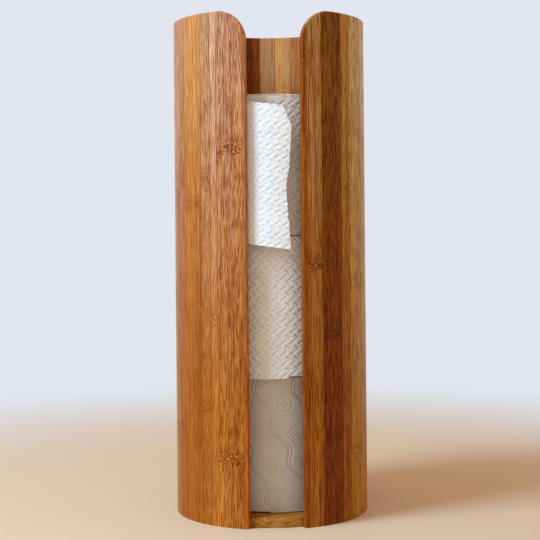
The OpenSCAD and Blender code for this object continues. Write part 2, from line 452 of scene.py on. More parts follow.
def bamboo(name, colour, knuckles, seed, streak, contrast, sheen, turn=(0.0, 0.0, 0.0)):
    """Bamboo sawn along its fibres and waxed. Each knuckle has its distance along the fibres and
    its strength, streak is how far one streak of fibres runs before it fades, contrast is that of
    the streaks, and the argument after it is how far painted sheen pales the upper part."""
    finish, tree, shader, place = new_finish(name)
    place = wire(tree, "ShaderNodeMapping", {"Vector": place, "Rotation": turn}).outputs[0]
    along = wire(tree, "ShaderNodeSeparateXYZ", {0: place}).outputs["Z"]

    def grain(where, kind, drawn_out=1.0):
        (across, lengthways), *rest = kind
        return noise(tree, where, [(across, across, lengthways / drawn_out), *rest], seed)

    waver = maths(tree, "SUBTRACT", grain(place, WAVER_GRAIN), 0.5)
    wavering = maths(tree, "MULTIPLY_ADD", waver, KNUCKLE_WAVER, along)
    shifted = maths(tree, "ADD", wavering, KNUCKLE_SHIFT)
    bands = wire(tree, "ShaderNodeValToRGB", {"Fac": maths(tree, "DIVIDE", shifted, KNUCKLE_SPAN)})
    bands.color_ramp.elements[0].color = bands.color_ramp.elements[1].color = (0, 0, 0, 1)
    for height, strength in knuckles:
        for offset, *levels in KNUCKLE_PROFILE:
            position = (height + offset + KNUCKLE_SHIFT) / KNUCKLE_SPAN
            stop = bands.color_ramp.elements.new(position)
            stop.color = [*(strength * level for level in levels), 1]
    core, above, below = wire(tree, "ShaderNodeSeparateColor", {0: bands.outputs["Color"]}).outputs
    near = maths(tree, "MAXIMUM", core, above)

    swirl = wire(
        tree,
        "ShaderNodeTexNoise",
        {**SWIRLS, "Vector": place, "W": seed + SWIRL_SEED},
        noise_dimensions="4D",
    ).outputs["Color"]
    pushed = wire(tree, "ShaderNodeVectorMath", {0: swirl, 1: (0.5,) * 3}, operation="SUBTRACT")
    swerve = maths(tree, "MULTIPLY_ADD", near, KNUCKLES_SWERVE, FIBRES_SWERVE)
    inputs = {0: pushed.outputs[0], "Scale": swerve}
    push = wire(tree, "ShaderNodeVectorMath", inputs, operation="SCALE")
    fibre_place = wire(
        tree, "ShaderNodeVectorMath", {0: place, 1: push.outputs[0]}, operation="ADD"
    ).outputs[0]

    short = grain(fibre_place, SHORT_GRAIN, streak)
    long = grain(fibre_place, LONG_GRAIN, streak)
    bundles = grain(place, BUNDLE_GRAIN, streak)
    hair = grain(fibre_place, HAIR_GRAIN)
    lines = grain(fibre_place, LINE_GRAIN, streak)
    off_line = maths(tree, "ABSOLUTE", maths(tree, "SUBTRACT", lines, 0.5))
    dark_line = ranged(tree, off_line, 0.0, DARK_LINE_WIDTH, 1.0, 0.0)
    fibre = maths(tree, "MULTIPLY", short, SHORT_SHARE)
    fibre = maths(tree, "MULTIPLY_ADD", long, LONG_SHARE, fibre)
    fibre = maths(tree, "MULTIPLY_ADD", bundles, BUNDLE_SHARE, fibre)
    fibre = maths(tree, "MULTIPLY_ADD", hair, HAIR_SHARE, fibre)
    fibre = maths(tree, "ADD", fibre, LINES_EVENED)
    fibre = maths(tree, "MULTIPLY_ADD", dark_line, LINE_SHARE, fibre)
    ramp = wire(tree, "ShaderNodeValToRGB", {"Fac": fibre})
    deep, bright = ramp.color_ramp.elements
    deep.position, deep.color = 0.5 - TONE_REACH / contrast, tinted(colour, FIBRE_DEEP)
    bright.position, bright.color = 0.5 + TONE_REACH / contrast, tinted(colour, FIBRE_BRIGHT)
    ramp.color_ramp.elements.new(0.5).color = colour

    # Painted sheen: the upper part is mixed towards the pale tint
    inputs = {"Value": along, "From Min": SHEEN_FROM, "From Max": SHEEN_TO, "To Max": sheen}
    sheen_share = wire(tree, "ShaderNodeMapRange", inputs).outputs[0]
    sheened = mixed(tree, 1.0, ramp.outputs["Color"], [*SHEEN_TINT, 1], "MULTIPLY")
    body = mixed(tree, sheen_share, ramp.outputs["Color"], sheened)
    dull = ranged(tree, grain(fibre_place, DULL_GRAIN, streak), DULL_FROM, DULL_TO)
    dulled = mixed(tree, 1.0, body, [*DULL_FIBRE, 1], "MULTIPLY")
    body = mixed(tree, maths(tree, "MULTIPLY", dull, DULL_SHARE), body, dulled)
    broad = grain(place, BROAD_GRAIN)
    shade = ranged(tree, broad, BROAD_FROM, BROAD_TO, BROAD_SHADE, BROAD_LIGHT)
    body = mixed(tree, 1.0, body, shade, "MULTIPLY")

    dashed = ranged(tree, grain(fibre_place, DASH_GRAIN), DASH_FROM, DASH_TO)
    dashed_here = maths(tree, "MULTIPLY_ADD", below, 1.0, DASHES_ANYWHERE)
    dashed = maths(tree, "MULTIPLY", dashed, dashed_here)
    body = mixed(tree, dashed, body, tinted(colour, DARK_DASH))

    spread = wire(
        tree,
        "ShaderNodeVectorMath",
        {0: fibre_place, 1: CELLS, 2: (seed, seed, seed)},
        operation="MULTIPLY_ADD",
    )
    to_outline = wire(
        tree,
        "ShaderNodeTexVoronoi",
        {"Vector": spread.outputs[0], "Scale": 1.0},
        voronoi_dimensions="3D",
        feature="DISTANCE_TO_EDGE",
    ).outputs["Distance"]
    outline = ranged(tree, to_outline, OUTLINE_FROM, OUTLINE_TO, 1.0, 0.0)
    outlined = maths(tree, "MULTIPLY", outline, near)
    inside = maths(tree, "MULTIPLY", ranged(tree, to_outline, INSIDE_FROM, INSIDE_TO), core)
    inside = maths(tree, "MULTIPLY", inside, INSIDE_SHARE)
    body = mixed(tree, inside, body, tinted(colour, CELL_INSIDE))
    outline_share = maths(tree, "MULTIPLY", outlined, OUTLINE_SHARE)
    body = mixed(tree, outline_share, body, tinted(colour, CELL_OUTLINE))
    glued = wire(tree, "ShaderNodeAttribute", attribute_name="glued").outputs["Fac"]
    glue = maths(tree, "MULTIPLY", ranged(tree, glued, GLUE_FROM, GLUE_TO), GLUE_SHARE)
    body = mixed(tree, glue, body, tinted(colour, GLUE_TINT))

    rough = ranged(tree, fibre, ROUGH_FROM, ROUGH_TO, ROUGHER, SMOOTHER)
    relief = maths(tree, "SUBTRACT", fibre, maths(tree, "MULTIPLY", outlined, OUTLINE_SUNK))
    bump = wire(tree, "ShaderNodeBump", {**WOOD_BUMP, "Height": relief}).outputs[0]
    feed(shader, {"Base Color": body, "Normal": bump, "Roughness": rough, **WOOD_GLOSS})
    return finish


BAMBOO_COLOURS = {
    "bamboo_dark": srgb(116, 48, 4),
    "bamboo_brown": srgb(152, 78, 11),
    "bamboo_amber": srgb(181, 101, 24),
    "bamboo_honey": srgb(187, 116, 38),
    "bamboo_pale": srgb(198, 126, 42),
}
# Heights of the knuckles on the strips whose knuckles can be seen, and how strong each one is
KNUCKLES = {
    "stave_01": [(0.101, 0.7), (0.329, 0.6)],
    "stave_02": [(0.183, 0.9)],
    "stave_03": [(0.135, 0.9)],
    "stave_04": [(0.095, 0.9)],
    "stave_05": [(0.046, 0.9), (0.168, 0.6), (0.281, 0.4)],
    "stave_06": [(0.040, 0.5), (0.271, 0.4)],
    "stave_13": [(0.318, 0.3)],
    "stave_14": [(0.320, 0.4)],
    "stave_16": [(0.346, 1.0)],
    "stave_24": [(0.066, 0.5), (0.2435, 0.8)],
    "stave_25": [(0.150, 0.3), (0.226, 0.6)],
    "stave_26": [(0.082, 0.6), (0.245, 0.7)],
    "stave_27": [(0.144, 0.8)],
    "stave_28": [(0.047, 1.0), (0.2645, 1.0)],
    "stave_29": [],
}
# Where the knuckles of the hidden strips are: the lower ones go up by a step from strip to
# strip and start again at the end of a range, and the upper ones lie at one distance above
HIDDEN_KNUCKLES_FROM = 0.03
HIDDEN_KNUCKLES_STEP = 0.047
HIDDEN_KNUCKLES_RANGE = 0.15
HIDDEN_KNUCKLES_APART = 0.17
HIDDEN_KNUCKLES_STRENGTH = (0.9, 0.7)
# How far streaks run and how strong they are, where they differ from the other strips
STREAKS = {
    "stave_02": (0.018, 1.2),
    "stave_03": (0.014, 3.2),
    "stave_04": (0.014, 1.5),
    "stave_05": (0.012, 1.1),
    "stave_12": (0.024, 0.5),
    "stave_13": (0.024, 0.35),
    "stave_14": (0.024, 0.45),
    "stave_24": (0.020, 0.8),
    "stave_25": (0.016, 0.6),
    "stave_26": (0.010, 0.8),
    "stave_27": (0.016, 0.8),
    "stave_28": (0.010, 1.3),
}
MOSTLY_STREAKED = (0.016, 1.0)
# How a strip's tone differs from that of others of its kind
TINTS = {
    "stave_01": (0.95, 0.88, 0.9),
    "stave_02": (1.1, 1.35, 1.85),
    "stave_03": (1.1, 1.27, 0.3),
    "stave_04": (1.15, 1.37, 0.85),
    "stave_05": (1.0, 1.13, 0.68),
    "stave_06": (1.03, 1.26, 0.85),
    "stave_12": (0.71, 0.51, 0.25),
    "stave_13": (1.07, 0.94, 0.66),
    "stave_14": (0.93, 0.91, 0.85),
    "stave_15": (1.17, 0.98, 0.6),
    "stave_16": (0.88, 0.62, 0.3),
    "stave_23": (0.81, 0.71, 0.71),
    "stave_24": (0.86, 0.77, 0.86),
    "stave_25": (0.87, 0.71, 0.46),
    "stave_26": (0.9, 0.86, 0.88),
    "stave_27": (0.91, 0.73, 0.62),
    "stave_28": (1.02, 1.02, 1.3),
    "stave_29": (0.91, 0.75, 0.62),
}
# How far painted sheen pales the upper part of a strip, where it differs from the other strips
PAINTED_SHEEN = {
    "stave_01": 0.0,
    "stave_02": 0.75,
    "stave_03": 1.0,
    "stave_04": 0.95,
    "stave_05": 0.95,
    "stave_06": 1.0,
    "stave_11": 0.36,
    "stave_12": 0.36,
    "stave_13": 0.36,
    "stave_14": 0.36,
    "stave_15": 0.36,
    "stave_16": 0.36,
    "stave_17": 0.36,
    "stave_25": 1.0,
    "stave_26": 1.0,
    "stave_27": 0.75,
    "stave_29": 1.4,
}
# Painted sheen of the other strips
MOSTLY_SHEENED = 0.6
STRIP_SEED = 1.7

panel_start, panel_end = PANEL_R * turns(STAVES[0])[0], PANEL_R * turns(STAVES[-1])[1]
board = glued_board(panel_start, panel_end)
for number, node in enumerate(STAVES, 1):
    start, end = (PANEL_R * turn for turn in turns(node))
    strip = bent_strip(node + "_bamboo", board, start, end, (panel_start, panel_end))
    lowest = HIDDEN_KNUCKLES_FROM + number * HIDDEN_KNUCKLES_STEP % HIDDEN_KNUCKLES_RANGE
    hidden_knuckles = zip((lowest, lowest + HIDDEN_KNUCKLES_APART), HIDDEN_KNUCKLES_STRENGTH)
    finish = bamboo(
        node + "_finish",
        tinted(BAMBOO_COLOURS[SLOT_OF[node]], TINTS.get(node, (1, 1, 1))),
        KNUCKLES.get(node, hidden_knuckles),
        number * STRIP_SEED,
        *STREAKS.get(node, MOSTLY_STREAKED),
        PAINTED_SHEEN.get(node, MOSTLY_SHEENED),
    )
    strip.data.materials.clear()
    strip.data.materials.append(finish)
    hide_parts(node)
    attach(strip, "stand")
bpy.data.objects.remove(board)


# The base is a disc of seven bamboo strips, glued edge to edge with their grain across the
# stand. It is turned round, eased along its rims, and glued flush into the foot of the tube.
BASE_STRIPS = sorted(name for name in frame["nodes"] if name.startswith("base_strip_"))
BASE_ROUND_STEPS = 180
BASE_RIM_R = 0.0005
BASE_RIM_STEPS = 2
BASE_GRAIN_TURN = (0.0, math.pi / 2, 0.0)
# The base strips are coloured deeper than the panel's strips: painted shade for the foot of the
# tube, inside its walls
BASE_PAINTED_SHADE = (0.9, 0.92, 0.95)
# Each strip has one knuckle. It shifts by a step from strip to strip, and starts again at the
# end of a range
BASE_KNUCKLES_FROM = 0.05
BASE_KNUCKLES_STEP = 0.031
BASE_KNUCKLES_RANGE = 0.1
BASE_KNUCKLE_STRENGTH = 0.9
BASE_STREAKED = (0.012, 1.0)
# Painted sheen of the base strips
BASE_SHEENED = 0.4
BASE_SEED = 60

widest = BASE_STRIPS[len(BASE_STRIPS) // 2]
base_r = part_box(widest)[1].x
base_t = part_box(widest)[1].z
bpy.ops.object.select_all(action="DESELECT")
bpy.ops.mesh.primitive_cylinder_add(
    vertices=BASE_ROUND_STEPS, radius=base_r, depth=base_t, location=(0, 0, base_t / 2)
)
disc = bpy.context.object
bpy.ops.object.transform_apply(location=True)
spots = [v.co.copy() for v in disc.data.vertices]
bpy.ops.object.mode_set(mode="EDIT")
pick(disc, "edges", lambda e: spots[e.vertices[0]].z == spots[e.vertices[1]].z)
bpy.ops.mesh.bevel(offset=BASE_RIM_R, segments=BASE_RIM_STEPS, affect="EDGES")
bpy.ops.object.mode_set(mode="OBJECT")
for number, node in enumerate(BASE_STRIPS, 1):
    strip = bpy.data.objects.new(node + "_bamboo", disc.data.copy())
    bpy.context.scene.collection.objects.link(strip)
    activate(strip)
    front, back = (corner.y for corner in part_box(node))
    bpy.ops.object.mode_set(mode="EDIT")
    if node != BASE_STRIPS[0]:
        saw((0, front, 0), (0, 1, 0), clear_inner=True, use_fill=True)
    if node != BASE_STRIPS[-1]:
        saw((0, back, 0), (0, 1, 0), clear_outer=True, use_fill=True)
    bpy.ops.object.mode_set(mode="OBJECT")
    bpy.ops.object.shade_smooth_by_angle(angle=WOOD_SHARP_FROM)
    knuckle = BASE_KNUCKLES_FROM - number * BASE_KNUCKLES_STEP % BASE_KNUCKLES_RANGE
    finish = bamboo(
        node + "_finish",
        tinted(BAMBOO_COLOURS[SLOT_OF[node]], BASE_PAINTED_SHADE),
        [(knuckle, BASE_KNUCKLE_STRENGTH)],
        BASE_SEED + number,
        *BASE_STREAKED,
        BASE_SHEENED,
        BASE_GRAIN_TURN,
    )
    strip.data.materials.clear()
    strip.data.materials.append(finish)
    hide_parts(node)
    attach(strip, "stand")
bpy.data.objects.remove(disc)


# Inside each roll, a long strip of soft tissue is wound tight on a cardboard core and sawn
# to length. Its ends show the turns as fine rings, a little uneven and dished by the saw.
ROLLS = ["bottom_roll", "middle_roll", "top_roll"]
TISSUE_COLOURS = {
    "bottom_roll": srgb(216, 210, 204),
    "middle_roll": srgb(241, 239, 236),
    "top_roll": srgb(241, 239, 236),
}
PLY = 0.00025
OUTER_TURN = 0.0016
WOUND_COLUMNS = 360
END_RINGS = 22
END_UNEVEN = 0.00012
END_DISH = 0.0003
END_WAVE = 0.00035
SHOULDER_R = 0.0015
SHOULDER_STEPS = 5
CORE_CLEAR = 0.0001
TURN_CLEAR = 0.0003
PAPER_SHARP_FROM = math.radians(50)
PAPER_GLOSS = {"Roughness": 0.95, "Specular IOR Level": 0.15}
# The rings at a roll's ends: how far apart they are and stray, and how dark they are
RING_PITCH = 0.00042
RINGS_STRAY = 0.0016
RINGS_SHARE = 0.22
RINGS_FROM, RINGS_TO = 0.2, 0.75
RING_SHADE = (0.80, 0.78, 0.74)
STRAY_GRAIN = ((60, 60, 60), 0, 2.0, 0.5)
END_GRAIN = ((500, 500, 500), 4, 3.0, 0.6)
END_BUMP = {"Strength": 0.5, "Distance": 0.00015}
LAYERS_SEED = 3.1
# What a wave round a roll draws for each order: a strength from the least to the most, and the
# turn where it starts, up to a full one
WAVE_LEAST, WAVE_MOST, WAVE_START = 0.5, 1, 6.28
WAVE_ORDERS = (2, 3, 5, 8)
WAVE_SEED = 10


def points_of(piece):
    """The points of a piece as an array with one row for each."""
    flat = np.empty(3 * len(piece.data.vertices))
    piece.data.vertices.foreach_get("co", flat)
    return flat.reshape(-1, 3)


def wind(name, columns, profile, placed, closer=0.0):
    """Winds a flat grid round Z into a closed ring. Its rows take the (radius, height) of the
    profile, its columns can lie closer together at the front, and placed then moves the points,
    given their turns, radii and heights."""
    bpy.ops.object.select_all(action="DESELECT")
    bpy.ops.mesh.primitive_grid_add(x_subdivisions=columns, y_subdivisions=len(profile), size=1)
    piece = bpy.context.object
    piece.name = name
    across, along = points_of(piece)[:, :2].T + 0.5
    rows = np.rint(along * len(profile)).astype(int) % len(profile)
    radii, heights = np.array(profile)[rows].T
    even = 2 * math.pi * across
    around, radii, heights, *pressed = placed(even - closer * np.sin(even), radii, heights)
    spots = np.stack([radii * np.sin(around), -radii * np.cos(around), heights], axis=1)
    piece.data.vertices.foreach_set("co", spots.ravel())
    for depth in pressed:
        piece.data.attributes.new("pressed", "FLOAT", "POINT").data.foreach_set("value", depth)
    piece.data.update()
    bpy.ops.object.mode_set(mode="EDIT")
    bpy.ops.mesh.select_all(action="SELECT")
    bpy.ops.mesh.remove_doubles(threshold=SAME_PLACE)
    bpy.ops.mesh.normals_make_consistent(inside=False)
    bpy.ops.object.mode_set(mode="OBJECT")
    bpy.ops.object.shade_smooth_by_angle(angle=PAPER_SHARP_FROM)
    return piece


def waves(around, seed, orders=WAVE_ORDERS):
    """A smooth random wave round a roll, from 0 to 1."""
    draw = np.random.default_rng(seed)
    total = 0
    for order in orders:
        strength = draw.uniform(WAVE_LEAST, WAVE_MOST) / order**0.5
        total = total + strength * np.sin(order * around + draw.uniform(0, WAVE_START))
    return 0.5 + 0.5 * total / np.abs(total).max()


def shoulder(radius, low, high):
    """Profile of a roll's side with soft shoulders, from its lower end face to its upper."""
    steps = np.linspace(0, math.pi / 2, SHOULDER_STEPS)
    lower = [
        (radius - SHOULDER_R * (1 - math.sin(a)), low + SHOULDER_R * (1 - math.cos(a)))
        for a in steps
    ]
    return lower + [(r, low + high - z) for r, z in reversed(lower)]


def layered_tissue(name, colour, seed):
    """Ends of a wound roll: many turns of soft paper, seen edge on."""
    finish, tree, shader, place = new_finish(name)
    flat = wire(tree, "ShaderNodeVectorMath", {0: place, 1: (1, 1, 0)}, operation="MULTIPLY")
    reach = wire(tree, "ShaderNodeVectorMath", {0: flat.outputs[0]}, operation="LENGTH")
    stray = noise(tree, place, STRAY_GRAIN, seed)
    strayed = maths(tree, "MULTIPLY_ADD", stray, RINGS_STRAY, reach.outputs["Value"])
    rings = maths(tree, "SINE", maths(tree, "MULTIPLY", strayed, 2 * math.pi / RING_PITCH))
    lines = noise(tree, place, END_GRAIN, seed)
    lines = maths(tree, "MULTIPLY_ADD", rings, RINGS_SHARE, lines)
    light = ranged(tree, lines, RINGS_FROM, RINGS_TO)
    body = mixed(tree, light, tinted(colour, RING_SHADE), colour)
    bump = wire(tree, "ShaderNodeBump", {**END_BUMP, "Height": lines}).outputs[0]
    feed(shader, {"Base Color": body, "Normal": bump, **PAPER_GLOSS})
    return finish


for number, roll in enumerate(ROLLS, 1):
    low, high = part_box(roll + "_paper")
    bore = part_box(roll + "_core")[1].x + CORE_CLEAR
    side = shoulder(high.x - OUTER_TURN - TURN_CLEAR, low.z, high.z)
    ring_radii = np.linspace(bore, side[0][0], END_RINGS, endpoint=False)
    uneven = np.random.default_rng(number).uniform(0, END_UNEVEN, 2 * END_RINGS)
    dish = END_DISH * np.sin(np.pi * np.linspace(0, 1, END_RINGS))
    lower_end = [(r, low.z + u + d) for r, u, d in zip(ring_radii, uneven[:END_RINGS], dish)]
    upper_end = [(r, high.z - u - d) for r, u, d in zip(ring_radii, uneven[END_RINGS:], dish)]
    profile = lower_end + side + upper_end[::-1]
    span = high.z - low.z

    def unevenly_sawn(around, radii, heights, number=number, low=low, span=span):
        share = (heights - low.z) / span
        up, down = (waves(around, number * WAVE_SEED + end) for end in range(2))
        return around, radii, heights + END_WAVE * ((1 - share) * down - share * up)

    wound = wind(roll + "_wound_tissue", WOUND_COLUMNS, profile, unevenly_sawn)
    finish = layered_tissue(roll + "_layers", TISSUE_COLOURS[roll], number * LAYERS_SEED)
    wound.data.materials.append(finish)
    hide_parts(roll + "_paper")
    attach(wound, roll)


# The last turn of each roll is the tissue that shows. The upper two are embossed all over
# with short slanting dashes, and the bottom one with waves and small diamonds of dots.
DASHES_ROUND = 56
COLUMNS_PER_DASH = 10
MOTIF_COLUMNS = 460
MOTIF_ROWS = 200
CLOSER_AT_FRONT = 0.35
DASH_ROW = 0.00383
ROWS_PER_DASH = 6
DASH_SLANT = math.radians(37)
DASH_LENGTH = 0.0043
DASH_WIDTH = 0.0010
DASH_END = 0.0006
DASH_DEPTH = 0.00095
WAVES_ROUND = 11
WAVE_RISE = 0.060
WAVE_LENGTH = 0.026
WAVE_SWING = 0.11
WAVE_APART = 0.040
WAVE_STRETCH = 0.8
LINE_WIDTH = 0.0008
DOTS_APART = 0.0022
DOTS_REACH = 2
DOT_WIDTH = 0.0012
CLUSTERS_APART = 0.022
RING_R = 0.0018
DOTTED_R = 0.0052
DOTS_IN_RING = 16
MOTIF_DEPTH = 0.0006
TAIL_TURNS = {"bottom_roll": 2.6, "middle_roll": 3.9, "top_roll": 5.75}
TAIL_FADE = 0.012
PERFORATED_EVERY = 0.115
PERFORATION_WIDTH = 0.0005
PERFORATION_DEPTH = 0.00025
SOFTLY_UNEVEN = 0.00025
UNEVEN_ORDERS = (2, 3, 5, 7)
UNEVEN_LEAN = 9
OUTSIDE_WITHIN = 0.0001
# The loose end has pulled the embossing flat along the top roll's rim, where it comes off
PLAIN_RIM = 0.0058
PLAIN_FROM, PLAIN_TO = -1.0, 0.09
CRIMP_BELOW_RIM = 0.0013
CRIMP_WIDTH = 0.0004
CRIMP_DEPTH = 0.6
# The tissue's creping, fluff and clouds, and what they have of its shade
CREPE_GRAIN = ((2600, 2600, 700), 0, 2.0, 0.6)
FLUFF_GRAIN = ((900, 900, 900), 5, 3.0, 0.65)
CLOUD_GRAIN = ((90, 90, 90), 8, 2.0, 0.5)
CREPE_SHARE, FLUFF_SHARE, CLOUD_SHARE = 0.5, 0.5, 0.6
SHADE_FROM, SHADE_TO = 0.55, 1.05
SHADE_TINT = (0.92, 0.91, 0.90)
LIGHT_TINT = (1.04, 1.04, 1.05)
CREPE_RISE = 0.6
PAPER_BUMP = {"Strength": 0.6, "Distance": 0.00025}
# Painted shade in the embossed pits: its tint, the range of pressing over which it comes in, and
# how strongly it darkens
PIT_SHADE_TINT = (0.60, 0.55, 0.49)
PRESSED_FROM, PRESSED_TO = 0.1, 1.0
PIT_SHADE = 0.04
CUT_R = 0.00015
TISSUE_SEED = 0.7
# Where the lower edge of the last turn steps, how far it rises there, and where it lies before
LOWER_EDGES = {
    "bottom_roll": (-0.08, -0.0008, 0.0008),
    "middle_roll": (0.16, 0.0018, -0.0010),
    "top_roll": (0.5, 0.0, 0.0),
}
# The step's width, and the turns past it between which the edge sinks back
STEP_WIDTH = 0.03
STEP_SINKS_FROM, STEP_SINKS_TO = 2, 5
# How fast the waves and the step of a cut edge fade with the distance from it
CUT_FADES = 4
STEP_FADES = 12


def dashes(along, up, pitch, row_height, width):
    """How far the embossing presses in, 0 to 1: rows of short dashes that lean right and left."""
    row = np.floor(up / row_height)
    lean = np.where(row % 2 == 0, 1, -1)
    beside = ((along / pitch - 0.5 * (row % 2) + 0.5) % 1 - 0.5) * pitch
    above = up - (row + 0.5) * row_height
    lengthways = beside * lean * math.cos(DASH_SLANT) + above * math.sin(DASH_SLANT)
    across = above * math.cos(DASH_SLANT) - beside * lean * math.sin(DASH_SLANT)
    ended = np.clip((DASH_LENGTH / 2 - np.abs(lengthways)) / DASH_END + 0.5, 0, 1)
    return ended * np.exp(-((across / (width / 2)) ** 2))


def waves_and_dots(along, up, girth):
    """How far the embossing presses in, 0 to 1: pairs of slanting wavy lines, with diamonds of
    dots and dotted rings between."""

    def phase(height):
        wave = WAVE_SWING * np.sin(2 * math.pi * height / WAVE_LENGTH)
        return along / girth * WAVES_ROUND + height / WAVE_RISE + wave

    apart = (phase(up) + 0.5) % 1 - 0.5
    scale = girth / WAVES_ROUND * WAVE_STRETCH
    lines = sum(
        np.exp(-(((apart - side) * scale / (LINE_WIDTH / 2)) ** 2))
        for side in (-WAVE_APART, WAVE_APART)
    )
    centre_up = (np.floor(up / CLUSTERS_APART) + 0.5) * CLUSTERS_APART
    beside = (phase(centre_up) % 1 - 0.5) * girth / WAVES_ROUND
    above = (up / CLUSTERS_APART % 1 - 0.5) * CLUSTERS_APART
    one, other = (beside + above) / math.sqrt(2), (beside - above) / math.sqrt(2)
    off_dots = [
        x - np.clip(np.rint(x / DOTS_APART), -DOTS_REACH, DOTS_REACH) * DOTS_APART
        for x in (one, other)
    ]
    dots = np.exp(-((np.hypot(*off_dots) / (DOT_WIDTH / 2)) ** 2))
    away = np.hypot(beside, above)
    between = 2 * math.pi / DOTS_IN_RING
    off_dot = (np.arctan2(above, beside) / between % 1 - 0.5) * between * DOTTED_R
    dotted = np.exp(-((np.hypot(away - DOTTED_R, off_dot) / (DOT_WIDTH / 2)) ** 2))
    ring = np.exp(-(((away - RING_R) / (LINE_WIDTH / 2)) ** 2))
    is_ring = np.floor(up / CLUSTERS_APART) % 2 == 1
    return lines + np.where(is_ring, ring + dotted, dots)


def tissue(name, colour, seed, pit_shading=PIT_SHADE):
    """Soft creped tissue: fine wrinkles that run up the roll, and short fibres. Its last argument
    is how much painted shade darkens it in the pits that the embossing presses in."""
    finish, tree, shader, place = new_finish(name)
    crepe = noise(tree, place, CREPE_GRAIN, seed)
    fluff = noise(tree, place, FLUFF_GRAIN, seed)
    cloud = noise(tree, place, CLOUD_GRAIN, seed)
    shade = maths(tree, "MULTIPLY", fluff, FLUFF_SHARE)
    shade = maths(tree, "MULTIPLY_ADD", crepe, CREPE_SHARE, shade)
    shade = maths(tree, "MULTIPLY_ADD", cloud, CLOUD_SHARE, shade)
    light = ranged(tree, shade, SHADE_FROM, SHADE_TO)
    body = mixed(tree, light, tinted(colour, SHADE_TINT), tinted(colour, LIGHT_TINT))
    pressed = wire(tree, "ShaderNodeAttribute", attribute_name="pressed").outputs["Fac"]
    # Painted shade, darker where the embossing presses in
    pit_shaded = maths(tree, "MULTIPLY", ranged(tree, pressed, PRESSED_FROM, PRESSED_TO), pit_shading)
    body = mixed(tree, pit_shaded, body, tinted(colour, PIT_SHADE_TINT))
    relief = maths(tree, "MULTIPLY_ADD", crepe, CREPE_RISE, fluff)
    bump = wire(tree, "ShaderNodeBump", {**PAPER_BUMP, "Height": relief}).outputs[0]
    feed(shader, {"Base Color": body, "Normal": bump, **PAPER_GLOSS})
    return finish


def outer_turn(roll, seed):
    """The last turn of a roll: a closed thin ring, embossed outside and plain inside."""
    low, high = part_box(roll + "_paper")
    girth = 2 * math.pi * high.x
    is_dashed = roll != "bottom_roll"
    pitch = girth / DASHES_ROUND
    span = high.z - low.z
    rows = ROWS_PER_DASH * round(span / DASH_ROW) if is_dashed else MOTIF_ROWS
    tail = TAIL_TURNS[roll]
    inside_r = high.x - OUTER_TURN
    uncut = span - 2 * CUT_R
    outside = [(high.x, low.z + CUT_R + uncut * row / rows) for row in range(rows + 1)]
    lower = [(inside_r, low.z + CUT_R), (inside_r + CUT_R, low.z), (high.x - CUT_R, low.z)]
    profile = lower + outside + [(r, low.z + high.z - z) for r, z in reversed(lower)]

    def embossed(around, radii, heights):
        up = heights - low.z
        from_tail = (around - tail) % (2 * math.pi)
        near_tail = np.minimum(from_tail, 2 * math.pi - from_tail) * high.x
        if is_dashed:
            slide = (0.5 - np.abs(up / DASH_ROW % 2 - 1)) * DASH_ROW / math.tan(DASH_SLANT)
            around = around + slide / high.x * np.clip(near_tail / TAIL_FADE, 0, 1)
        is_outside = radii > high.x - OUTSIDE_WITHIN
        along = around * high.x
        if is_dashed:
            pressed, depth = dashes(along, up, pitch, DASH_ROW, DASH_WIDTH), DASH_DEPTH
        else:
            pressed, depth = waves_and_dots(along, up, girth), MOTIF_DEPTH
        if roll == "top_roll":
            from_front = (around + math.pi) % (2 * math.pi) - math.pi
            is_plain = (span - up < PLAIN_RIM) & (from_front > PLAIN_FROM) & (from_front < PLAIN_TO)
            crimp = np.exp(-(((span - up - CRIMP_BELOW_RIM) / CRIMP_WIDTH) ** 2))
            pressed = np.where(is_plain, CRIMP_DEPTH * crimp, pressed)
        from_tail = (around - tail) % (2 * math.pi)
        thinner = -PLY * from_tail / (2 * math.pi)
        past_middle = (from_tail * high.x + PERFORATED_EVERY / 2) % PERFORATED_EVERY
        to_perforation = past_middle - PERFORATED_EVERY / 2
        crease = -PERFORATION_DEPTH * np.exp(-((to_perforation / PERFORATION_WIDTH) ** 2))
        uneven = -SOFTLY_UNEVEN * waves(around + UNEVEN_LEAN * up, seed, UNEVEN_ORDERS)
        radii = radii + np.where(is_outside, thinner + crease - depth * pressed, 0) + uneven
        share = up / span
        up_wave, down_wave = waves(around, seed), waves(around, seed + 1)
        cut_wave = (1 - share) ** CUT_FADES * down_wave - share**CUT_FADES * up_wave
        heights = heights + END_WAVE * cut_wave
        step_at, rise, before = LOWER_EDGES[roll]
        past = (around - step_at + 1) % (2 * math.pi) - 1
        sinking = (STEP_SINKS_TO - past) / (STEP_SINKS_TO - STEP_SINKS_FROM)
        stepped = np.clip(past / STEP_WIDTH + 0.5, 0, 1) * np.clip(sinking, 0, 1)
        heights = heights + (before + rise * stepped) * (1 - share) ** STEP_FADES
        return around, radii, heights, np.where(is_outside, pressed, 0)

    columns = DASHES_ROUND * COLUMNS_PER_DASH if is_dashed else MOTIF_COLUMNS
    turn = wind(roll + "_outer_turn", columns, profile, embossed, CLOSER_AT_FRONT)
    turn.data.materials.append(tissue(roll + "_tissue", TISSUE_COLOURS[roll], seed * TISSUE_SEED))
    return turn


for number, roll in enumerate(ROLLS, 1):
    turn = outer_turn(roll, number * WAVE_SEED)
    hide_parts(roll + "_paper")
    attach(turn, roll)


# Each core is a tube of grey board, two narrow strips of it wound in a screw and glued. The
# inner strip's edges don't quite meet, and leave a fine groove that climbs round the bore.
CORE_ROWS = 40
CORE_COLUMNS = 96
SEAM_LEAD = 0.085
SEAM_WIDTH = 0.0006
SEAM_DEPTH = 0.00025
